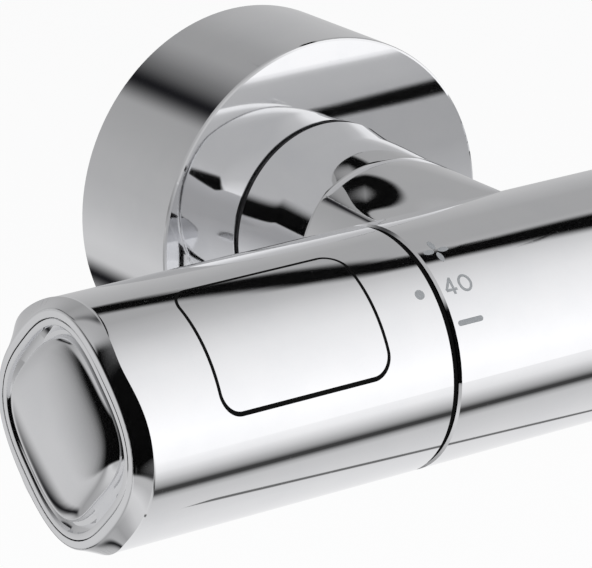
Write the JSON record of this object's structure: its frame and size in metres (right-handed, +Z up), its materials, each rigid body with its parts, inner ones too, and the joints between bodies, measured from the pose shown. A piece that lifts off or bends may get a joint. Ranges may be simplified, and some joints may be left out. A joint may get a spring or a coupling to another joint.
{
  "type": "thermostatic shower valve",
  "caption": "Wall-mounted thermostatic bar valve: chrome bar body on two wall unions, temperature handle at one end, flow handle at the other, both with press buttons.",
  "frame": {"origin": "on the wall plane, midway between the axes of the two union connections", "axes": "+X along the bar towards the flow handle (cold side), +Y into the wall, +Z up"},
  "size_m": [0.3208, 0.1053, 0.0811],
  "materials": {
    "chrome_body": "bright chrome plate over cast brass",
    "chrome_handle": "bright chrome plate on moulded plastic",
    "chrome_cover": "bright chrome plate, drawn sheet",
    "chrome_cap": "bright chrome plate on a moulded cap",
    "brass_inner": "machined brass, bare",
    "rubber_black": "moulded rubber, dull",
    "plastic_black": "moulded glass-filled plastic",
    "plastic_white": "moulded white plastic",
    "steel_spring": "spring steel wire, bright",
    "ceramic_disc": "lapped ceramic, smooth"
  },
  "bodies": {
    "valve": {"body": "chrome_body", "outlet_nipple": "chrome_body", "hot_union_nipple": "brass_inner", "hot_union_nut": "brass_inner", "hot_nut_cover": "chrome_cover", "hot_filter_washer": "rubber_black", "hot_s_union": "brass_inner", "hot_escutcheon": "chrome_cover", "hot_face_ring": "rubber_black", "hot_wall_seal": "rubber_black", "hot_check_housing": "plastic_white", "hot_check_spring": "steel_spring", "cold_union_nipple": "brass_inner", "cold_union_nut": "brass_inner", "cold_nut_cover": "chrome_cover", "cold_filter_washer": "rubber_black", "cold_s_union": "brass_inner", "cold_escutcheon": "chrome_cover", "cold_face_ring": "rubber_black", "cold_wall_seal": "rubber_black", "cold_check_housing": "plastic_white", "cold_check_spring": "steel_spring", "temp_gap_ring": "rubber_black", "temp_stop_ring": "plastic_white", "thermo_bonnet": "brass_inner", "thermo_housing": "plastic_white", "thermo_o_rings": "rubber_black", "thermo_return_spring": "steel_spring", "flow_gap_ring": "rubber_black", "flow_stop_ring": "plastic_white", "headpart_housing": "brass_inner", "fixed_disc": "ceramic_disc", "headpart_seal": "rubber_black", "headpart_o_ring": "rubber_black"},
    "temp_knob": {"temp_handle_sleeve": "chrome_handle", "temp_handle_cap": "chrome_cap", "temp_handle_carrier": "plastic_black", "temp_handle_screw": "steel_spring", "temp_button_spring": "steel_spring", "thermo_spindle": "brass_inner", "thermo_spindle_seal": "rubber_black"},
    "temp_push": {"temp_button": "chrome_handle"},
    "regulator": {"regulating_slide": "plastic_white", "wax_element": "brass_inner", "thermo_pusher": "brass_inner"},
    "flow_knob": {"flow_handle_sleeve": "chrome_handle", "flow_handle_cap": "chrome_cap", "flow_handle_carrier": "plastic_black", "flow_handle_screw": "steel_spring", "flow_button_spring": "steel_spring", "flow_spindle": "brass_inner", "flow_spindle_seal": "rubber_black", "moving_disc": "ceramic_disc"},
    "flow_push": {"flow_button": "chrome_handle"},
    "hot_check": {"hot_check_poppet": "plastic_white"},
    "cold_check": {"cold_check_poppet": "plastic_white"}
  },
  "joints": [
    {"name": "temp_turn", "type": "hinge", "parent": "valve", "child": "temp_knob", "pos_m": [-0.0926, -0.0693, -0.0081], "axis": [1, 0, 0], "range_deg": [-180, 60]},
    {"name": "temp_press", "type": "slide", "parent": "temp_knob", "child": "temp_push", "axis": [0, 0.7071, -0.7071], "range_m": [0, 0.0015], "stiffness_N_per_m": 2000, "deforming": ["temp_button_spring"]},
    {"name": "regulator_travel", "type": "slide", "parent": "valve", "child": "regulator", "axis": [1, 0, 0], "range_m": [-0.00105, 0.0004], "deforming": ["thermo_return_spring"]},
    {"name": "flow_turn", "type": "hinge", "parent": "valve", "child": "flow_knob", "pos_m": [0.0926, -0.0693, -0.0081], "axis": [1, 0, 0], "range_deg": [0, 180]},
    {"name": "flow_press", "type": "slide", "parent": "flow_knob", "child": "flow_push", "axis": [0, 0.7071, -0.7071], "range_m": [0, 0.0015], "stiffness_N_per_m": 2000, "deforming": ["flow_button_spring"]},
    {"name": "hot_check_lift", "type": "slide", "parent": "valve", "child": "hot_check", "axis": [0, -1, 0], "range_m": [0, 0.0025], "stiffness_N_per_m": 150, "deforming": ["hot_check_spring"]},
    {"name": "cold_check_lift", "type": "slide", "parent": "valve", "child": "cold_check", "axis": [0, -1, 0], "range_m": [0, 0.0025], "stiffness_N_per_m": 150, "deforming": ["cold_check_spring"]}
  ],
  "couplings": [
    {"joint": "regulator_travel", "follows": "temp_turn", "m_per_rad": 0.00031831}
  ]
}
